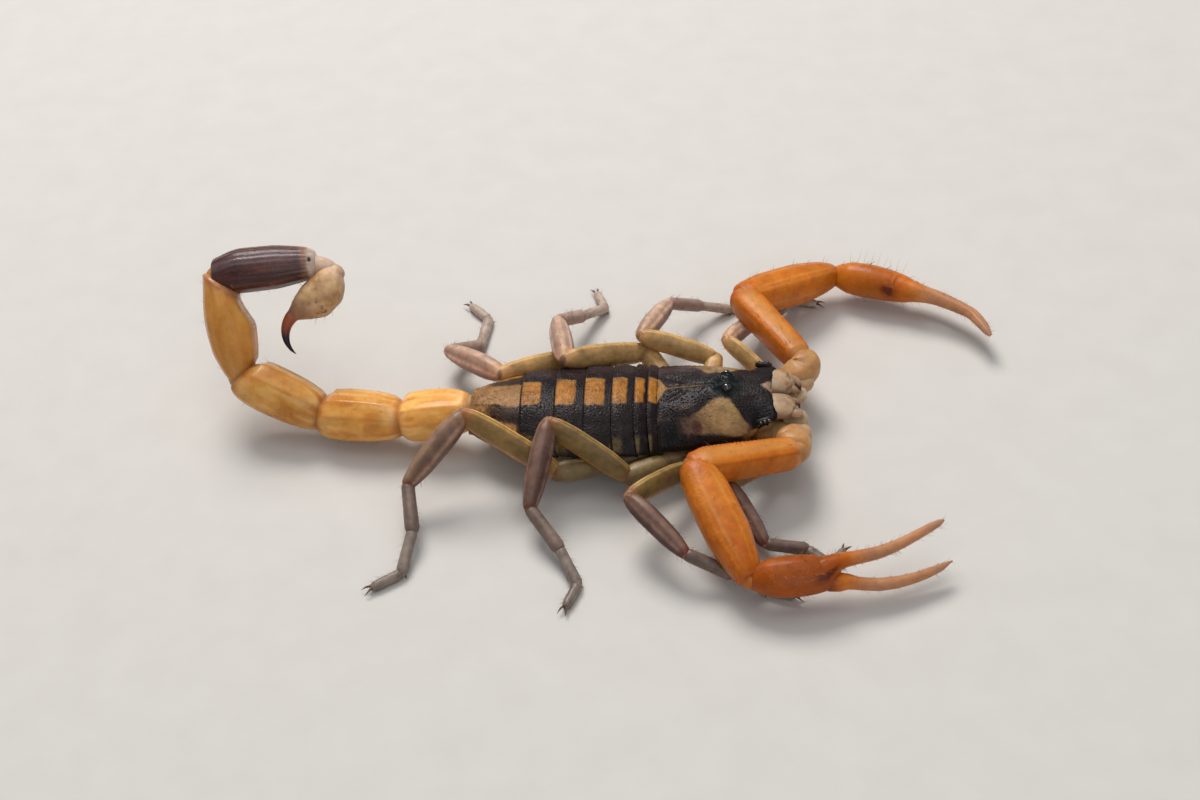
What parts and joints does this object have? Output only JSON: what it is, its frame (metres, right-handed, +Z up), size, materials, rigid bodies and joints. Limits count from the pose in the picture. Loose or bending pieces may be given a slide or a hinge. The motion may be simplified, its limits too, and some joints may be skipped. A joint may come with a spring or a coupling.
{
  "type": "scorpion figure",
  "caption": "Life-size still figure of a small desert scorpion standing alert, pincers reaching forward and tail hooked up beside its back.",
  "frame": {"origin": "middle of the bounding box's foot, on the floor the feet stand on", "axes": "+X towards the head, +Y towards the animal's left, +Z up"},
  "size_m": [0.0496, 0.0282, 0.0102],
  "materials": {
    "plates_dark": "satin, finely granular",
    "cuticle_olive": "satin",
    "cuticle_cream": "satin, slightly translucent",
    "cuticle_orange": "glossy, slightly translucent",
    "cuticle_amber": "glossy, keeled",
    "cuticle_maroon": "glossy, finely ridged",
    "cuticle_mauve": "satin",
    "eye_lens": "high gloss",
    "sting_dark": "glossy"
  },
  "bodies": {
    "root": {"carapace": "plates_dark", "coxosternum": "cuticle_olive", "chelicera_R": "cuticle_cream", "eye_median_R": "eye_lens", "eyes_lateral_R": "eye_lens", "pectine_R": "cuticle_cream", "pedipalp_R_trochanter": "cuticle_orange", "pedipalp_R_femur": "cuticle_orange", "pedipalp_R_patella": "cuticle_orange", "pedipalp_R_hand": "cuticle_orange", "pedipalp_R_finger": "cuticle_orange", "leg_R1_femur": "cuticle_olive", "leg_R1_patella": "cuticle_mauve", "leg_R1_foot": "cuticle_cream", "leg_R2_femur": "cuticle_olive", "leg_R2_patella": "cuticle_mauve", "leg_R2_foot": "cuticle_cream", "leg_R3_femur": "cuticle_olive", "leg_R3_patella": "cuticle_mauve", "leg_R3_foot": "cuticle_cream", "leg_R4_femur": "cuticle_olive", "leg_R4_patella": "cuticle_mauve", "leg_R4_foot": "cuticle_cream", "chelicera_L": "cuticle_cream", "eye_median_L": "eye_lens", "eyes_lateral_L": "eye_lens", "pectine_L": "cuticle_cream", "pedipalp_L_trochanter": "cuticle_orange", "pedipalp_L_femur": "cuticle_orange", "pedipalp_L_patella": "cuticle_orange", "pedipalp_L_hand": "cuticle_orange", "pedipalp_L_finger": "cuticle_orange", "leg_L1_femur": "cuticle_olive", "leg_L1_patella": "cuticle_mauve", "leg_L1_foot": "cuticle_cream", "leg_L2_femur": "cuticle_olive", "leg_L2_patella": "cuticle_mauve", "leg_L2_foot": "cuticle_cream", "leg_L3_femur": "cuticle_olive", "leg_L3_patella": "cuticle_mauve", "leg_L3_foot": "cuticle_cream", "leg_L4_femur": "cuticle_olive", "leg_L4_patella": "cuticle_mauve", "leg_L4_foot": "cuticle_cream", "mesosoma_1": "plates_dark", "mesosoma_2": "plates_dark", "mesosoma_3": "plates_dark", "mesosoma_4": "plates_dark", "mesosoma_5": "plates_dark", "mesosoma_6": "plates_dark", "mesosoma_7": "cuticle_olive", "metasoma_1": "cuticle_amber", "metasoma_2": "cuticle_amber", "metasoma_3": "cuticle_amber", "metasoma_4": "cuticle_amber", "metasoma_5": "cuticle_maroon", "telson_vesicle": "cuticle_cream", "telson_sting": "sting_dark"}
  },
  "joints": []
}
